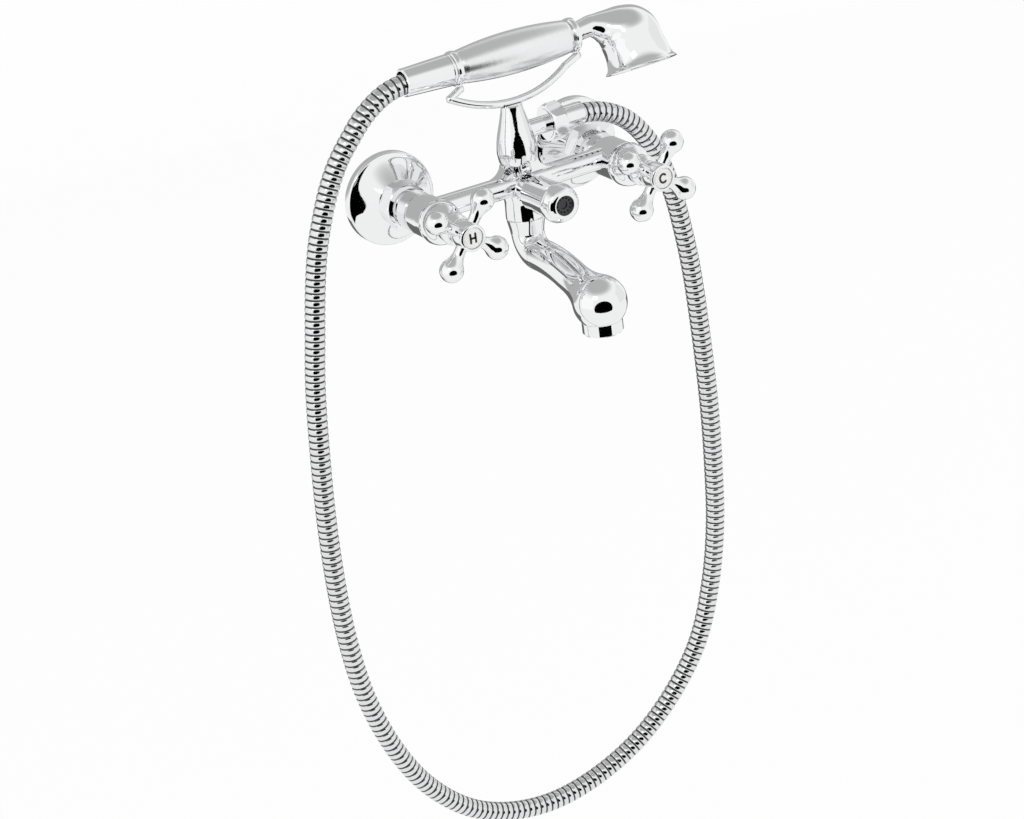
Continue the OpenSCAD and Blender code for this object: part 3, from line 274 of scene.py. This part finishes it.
def vary(mat, socket, scale, low, high, detail=3.0, stretch=(1, 1, 1)):
    """Drives a socket with a noise that runs between two values."""
    tree = mat.node_tree
    place = tree.nodes.new("ShaderNodeTexCoord")
    turn = tree.nodes.new("ShaderNodeMapping")
    turn.inputs["Scale"].default_value = stretch
    noise = tree.nodes.new("ShaderNodeTexNoise")
    noise.inputs["Scale"].default_value = scale
    noise.inputs["Detail"].default_value = detail
    spread = tree.nodes.new("ShaderNodeMapRange")
    spread.inputs["From Min"].default_value = NOISE_LOW
    spread.inputs["From Max"].default_value = NOISE_HIGH
    spread.inputs["To Min"].default_value = low
    spread.inputs["To Max"].default_value = high
    tree.links.new(place.outputs["Object"], turn.inputs["Vector"])
    tree.links.new(turn.outputs["Vector"], noise.inputs["Vector"])
    tree.links.new(noise.outputs["Fac"], spread.inputs["Value"])
    tree.links.new(spread.outputs["Result"], tree.nodes["Principled BSDF"].inputs[socket])
    return noise


def bump(mat, noise, strength, distance):
    """Adds a bump from a noise that the material already has."""
    tree = mat.node_tree
    node = tree.nodes.new("ShaderNodeBump")
    node.inputs["Strength"].default_value = strength
    node.inputs["Distance"].default_value = distance
    tree.links.new(noise.outputs["Fac"], node.inputs["Height"])
    tree.links.new(node.outputs["Normal"], tree.nodes["Principled BSDF"].inputs["Normal"])


def chrome():
    mat = node_material("chrome", (0.86, 0.865, 0.87), 1.0, 0.05)
    noise = vary(mat, "Roughness", 60.0, 0.03, 0.06)
    bump(mat, noise, 0.02, 0.0003)
    return mat


def satin_chrome():
    mat = node_material("satin_chrome", (0.86, 0.865, 0.87), 1.0, 0.26)
    noise = vary(mat, "Roughness", 60.0, 0.23, 0.29)
    bump(mat, noise, 0.02, 0.0003)
    return mat


def hose_metal():
    mat = node_material("hose_metal", (0.76, 0.765, 0.77), 1.0, 0.1)
    vary(mat, "Roughness", 60.0, 0.08, 0.13)
    return mat


# Painted shade: a dark metal for the hose's groove faces, standing in for the shade down in its grooves
def hose_groove_shade():
    mat = node_material("hose_groove_shade", (0.10, 0.10, 0.105), 1.0, 0.4)
    vary(mat, "Roughness", 300.0, 0.34, 0.48)
    return mat


def brass():
    mat = node_material("brass", (0.70, 0.52, 0.25), 1.0, 0.3)
    noise = vary(mat, "Roughness", 900.0, 0.24, 0.4, stretch=(1, 12, 1))
    bump(mat, noise, 0.1, 0.0001)
    return mat


def rubber():
    mat = node_material("rubber", (0.02, 0.02, 0.021), 0.0, 0.6)
    noise = vary(mat, "Roughness", 700.0, 0.5, 0.75)
    bump(mat, noise, 0.2, 0.0001)
    return mat


def ceramic():
    mat = node_material("ceramic", (0.86, 0.84, 0.78), 0.0, 0.25)
    vary(mat, "Roughness", 500.0, 0.18, 0.34)
    return mat


def enamel():
    mat = node_material("enamel", (0.90, 0.90, 0.89), 0.0, 0.16, Coat_Weight=0.6, Coat_Roughness=0.05)
    vary(mat, "Roughness", 300.0, 0.12, 0.22)
    return mat


def ink():
    mat = node_material("ink", (0.012, 0.012, 0.013), 0.0, 0.4)
    vary(mat, "Roughness", 600.0, 0.32, 0.5)
    return mat


def dark_inset():
    mat = node_material("dark_inset", (0.03, 0.03, 0.033), 0.0, 0.3)
    noise = vary(mat, "Roughness", 500.0, 0.22, 0.4)
    bump(mat, noise, 0.1, 0.0001)
    return mat


def steel():
    mat = node_material("steel", (0.55, 0.56, 0.57), 1.0, 0.3)
    vary(mat, "Roughness", 800.0, 0.22, 0.38, stretch=(1, 1, 14))
    return mat


def nylon():
    mat = node_material("nylon", (0.78, 0.78, 0.77), 0.0, 0.45)
    vary(mat, "Roughness", 400.0, 0.36, 0.55)
    return mat


FINISH = {"chrome": chrome(), "brass": brass(), "rubber": rubber(), "ceramic": ceramic(),
          "white_enamel": enamel(), "dark_inset": dark_inset(), "steel": steel(), "nylon": nylon()}


def dress(obj, mat):
    obj.data.materials.clear()
    obj.data.materials.append(mat)


for part in frame["record"]["subparts"]:
    dress(nodes[part["node"]], FINISH[part["material_slot"]])
dress(head, FINISH["chrome"])
dress(nodes["handset_grip"], satin_chrome())
dress(hose, hose_metal())
# The groove faces take the dark metal as painted shade
hose.data.materials.append(hose_groove_shade())
hose.data.polygons.foreach_set("material_index", hose_shade_faces)


# Even shading over the faces of a solid
CREASE = math.radians(28)
WELD = 1e-6


def even_shading():
    """Nodes that join the skin's faces and shade it as one smooth surface between its creases."""
    group = bpy.data.node_groups.new("even_shading", "GeometryNodeTree")
    group.interface.new_socket("Geometry", in_out="INPUT", socket_type="NodeSocketGeometry")
    group.interface.new_socket("Geometry", in_out="OUTPUT", socket_type="NodeSocketGeometry")
    start = group.nodes.new("NodeGroupInput")
    weld = group.nodes.new("GeometryNodeMergeByDistance")
    weld.inputs["Distance"].default_value = WELD
    angle = group.nodes.new("GeometryNodeInputMeshEdgeAngle")
    crease = group.nodes.new("FunctionNodeCompare")
    crease.data_type = "FLOAT"
    crease.operation = "GREATER_THAN"
    crease.inputs["B"].default_value = CREASE
    normals = group.nodes.new("GeometryNodeSetMeshNormal")
    end = group.nodes.new("NodeGroupOutput")
    group.links.new(start.outputs["Geometry"], weld.inputs["Geometry"])
    group.links.new(angle.outputs["Unsigned Angle"], crease.inputs["A"])
    group.links.new(weld.outputs["Geometry"], normals.inputs["Mesh"])
    group.links.new(crease.outputs["Result"], normals.inputs["Edge Sharpness"])
    normals.inputs["Remove Custom"].default_value = True
    group.links.new(normals.outputs["Mesh"], end.inputs["Geometry"])
    return group


EVEN = even_shading()
for part in frame["record"]["subparts"]:
    if part["material_slot"] == "chrome":
        nodes[part["node"]].modifiers.new("even_shading", "NODES").node_group = EVEN


# Index letters, drawn as strokes in millimetres about each button's centre
LETTER_HALF_STROKE = 0.75
LETTER_PROUD = 0.06
LETTER_SUNK = 0.25
LETTER_ARC_STEPS = 28
H_WIDE, H_TALL = 1.9, 2.9
C_WIDE, C_TALL = 2.6, 3.0
C_MOUTH = math.radians(48)
STROKES_H = [[(-H_WIDE, -H_TALL), (-H_WIDE, H_TALL)], [(H_WIDE, -H_TALL), (H_WIDE, H_TALL)],
             [(-H_WIDE, 0.0), (H_WIDE, 0.0)]]
STROKES_C = [[(C_WIDE * math.cos(a), C_TALL * math.sin(a))
              for a in np.linspace(C_MOUTH, 2 * math.pi - C_MOUTH, LETTER_ARC_STEPS)]]


def stroke_outline(path, half):
    """Outline of a stroke of even width with round ends."""
    p = np.array(path, float)
    ahead = np.gradient(p, axis=0)
    ahead /= np.linalg.norm(ahead, axis=1)[:, None]
    side = np.stack([-ahead[:, 1], ahead[:, 0]], axis=1) * half
    cap = np.linspace(-math.pi / 2, math.pi / 2, 7)[1:-1]
    end = [p[-1] + half * (math.cos(a) * ahead[-1]) + math.sin(a) * side[-1] for a in cap]
    start = [p[0] - half * (math.cos(a) * ahead[0]) - math.sin(a) * side[0] for a in cap]
    return [*(p - side), *end, *(p + side)[::-1], *start]


def make_letter(name, strokes, button, body):
    """A letter of flat strokes, let into the face of an index button."""
    low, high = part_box(button)
    centre = (low + high) / 2
    mesh = bmesh.new()
    for path in strokes:
        outline = stroke_outline(path, LETTER_HALF_STROKE)
        rows = [[mesh.verts.new((centre.x + u * MM, low.y - h * MM, centre.z + w * MM)) for u, w in outline]
                for h in (LETTER_PROUD, -LETTER_SUNK)]
        mesh.faces.new(rows[0])
        mesh.faces.new(rows[1][::-1])
        count = len(outline)
        for k in range(count):
            mesh.faces.new((rows[0][k], rows[1][k], rows[1][(k + 1) % count], rows[0][(k + 1) % count]))
    bmesh.ops.recalc_face_normals(mesh, faces=mesh.faces)
    data = bpy.data.meshes.new(name)
    mesh.to_mesh(data)
    mesh.free()
    letter = bpy.data.objects.new(name, data)
    scene.collection.objects.link(letter)
    dress(letter, ink())
    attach(letter, body)


make_letter("letter_hot", STROKES_H, "hot_index_button", "hot_handle")
make_letter("letter_cold", STROKES_C, "cold_index_button", "cold_handle")


# Studio
def panel(name, centre, facing, width, height, sides=4):
    """A flat board of the given outline that faces a point."""
    turn = math.pi / sides
    rim = [((width / 2) * math.cos(2 * a * turn + turn), (height / 2) * math.sin(2 * a * turn + turn), 0)
           for a in range(sides)]
    grow = 1 / math.cos(turn)
    board = new_mesh(name, [(x * grow, y * grow, z) for x, y, z in rim], [tuple(range(sides))])
    board.location = centre
    board.rotation_mode = "QUATERNION"
    board.rotation_quaternion = (Vector(facing) - Vector(centre)).to_track_quat("Z", "Y")
    return board


def backdrop_rays(tree, share):
    """The share for rays that show the backdrop, to the eye or in metal and glass, and 0 for others."""
    path = tree.nodes.new("ShaderNodeLightPath")
    value = None
    for ray in ("Is Camera Ray", "Is Glossy Ray", "Is Transmission Ray"):
        if value is None:
            value = path.outputs[ray]
            continue
        either = tree.nodes.new("ShaderNodeMath")
        either.operation = "MAXIMUM"
        tree.links.new(value, either.inputs[0])
        tree.links.new(path.outputs[ray], either.inputs[1])
        value = either.outputs["Value"]
    spread = tree.nodes.new("ShaderNodeMapRange")
    spread.inputs["To Max"].default_value = share
    tree.links.new(value, spread.inputs["Value"])
    return spread.outputs["Result"]


def seen_white(mat, share):
    """Shows a share of plain white to the eye and in metal, over the surface as it is lit."""
    tree = mat.node_tree
    white = tree.nodes.new("ShaderNodeEmission")
    white.inputs["Color"].default_value = (1, 1, 1, 1)
    mix = tree.nodes.new("ShaderNodeMixShader")
    tree.links.new(backdrop_rays(tree, share), mix.inputs["Fac"])
    tree.links.new(tree.nodes["Principled BSDF"].outputs["BSDF"], mix.inputs[1])
    tree.links.new(white.outputs["Emission"], mix.inputs[2])
    tree.links.new(mix.outputs["Shader"], tree.nodes["Material Output"].inputs["Surface"])


def area_light(name, centre, facing, width, height, power):
    data = bpy.data.lights.new(name, "AREA")
    data.shape = "RECTANGLE"
    data.size, data.size_y = width, height
    data.energy = power
    lamp = bpy.data.objects.new(name, data)
    scene.collection.objects.link(lamp)
    lamp.location = centre
    lamp.rotation_mode = "QUATERNION"
    lamp.rotation_quaternion = (Vector(facing) - Vector(centre)).to_track_quat("-Z", "Y")
    return lamp


def flat(name, light, centre, facing, width, height, sides=4, soft=0.0):
    """A soft light or a dark flag that shows in the chrome and not in the picture.

    Over the soft share of its width it fades into the white studio.
    """
    mat = bpy.data.materials.new(name)
    mat.use_nodes = True
    tree = mat.node_tree
    glow = tree.nodes.new("ShaderNodeEmission")
    glow.inputs["Color"].default_value = (1, 1, 1, 1)
    glow.inputs["Strength"].default_value = light
    tree.links.new(glow.outputs["Emission"], tree.nodes["Material Output"].inputs["Surface"])
    if soft:
        place = tree.nodes.new("ShaderNodeTexCoord")
        shrink = tree.nodes.new("ShaderNodeMapping")
        shrink.inputs["Scale"].default_value = (2 / width, 2 / height, 1)
        reach = tree.nodes.new("ShaderNodeVectorMath")
        reach.operation = "LENGTH"
        fade = tree.nodes.new("ShaderNodeMapRange")
        fade.interpolation_type = "SMOOTHSTEP"
        fade.inputs["From Min"].default_value = 1 - soft
        fade.inputs["To Min"].default_value = light
        tree.links.new(place.outputs["Object"], shrink.inputs["Vector"])
        tree.links.new(shrink.outputs["Vector"], reach.inputs[0])
        tree.links.new(reach.outputs["Value"], fade.inputs["Value"])
        tree.links.new(fade.outputs["Result"], glow.inputs["Strength"])
    board = panel(name, centre, facing, width, height, sides)
    dress(board, mat)
    board.visible_camera = False
    return board


def make_studio():
    world = bpy.data.worlds.new("studio")
    scene.world = world
    world.use_nodes = True
    sky = world.node_tree.nodes["Background"]
    sky.inputs["Color"].default_value = (1, 1, 1, 1)
    sky.inputs["Strength"].default_value = 1.0

    floor = panel("floor", (0, 0, FLOOR_Z), (0, 0, 1), 2 * FLOOR_HALF, 2 * FLOOR_HALF)
    floor_mat = node_material("floor", (0.93, 0.93, 0.93), 0.0, 0.8)
    vary(floor_mat, "Roughness", 3.0, 0.7, 0.9)
    seen_white(floor_mat, FLOOR_WHITE)
    dress(floor, floor_mat)

    front = flat("flag_front", light=0.0, centre=(-0.34, -1.2, -0.3), facing=(0, -0.1, -0.1),
                 width=1.7, height=1.4, sides=ROUND)
    low = flat("flag_low", light=0.15, centre=(0.7, 1.4, -0.6), facing=(0.7, 1.4, 1), width=2.4, height=2.0)
    for flag in (front, low):
        flag.visible_diffuse = flag.visible_shadow = False
    flat("flat_back", light=0.48, centre=(0.3, 2.0, 0.5), facing=(0, 0, 0.3), width=5.4, height=3.0,
         sides=ROUND, soft=0.25)
    flat("flat_top", light=0.5, centre=(0, 0, 1.7), facing=(0, 0, 0), width=4.6, height=4.6,
         sides=ROUND, soft=0.6)
    flat("flat_left", light=1.1, centre=(-2.2, -0.3, 0.4), facing=(0, -0.1, 0), width=2.2, height=1.8)
    flat("flat_right", light=0.9, centre=(2.2, -0.5, 0.3), facing=(0, -0.1, 0), width=2.2, height=1.6)
    area_light("key", centre=(-1.6, -1.4, 1.6), facing=(0, -0.05, 0), width=0.8, height=0.8, power=5)
    scene.view_settings.view_transform = "Standard"


make_studio()
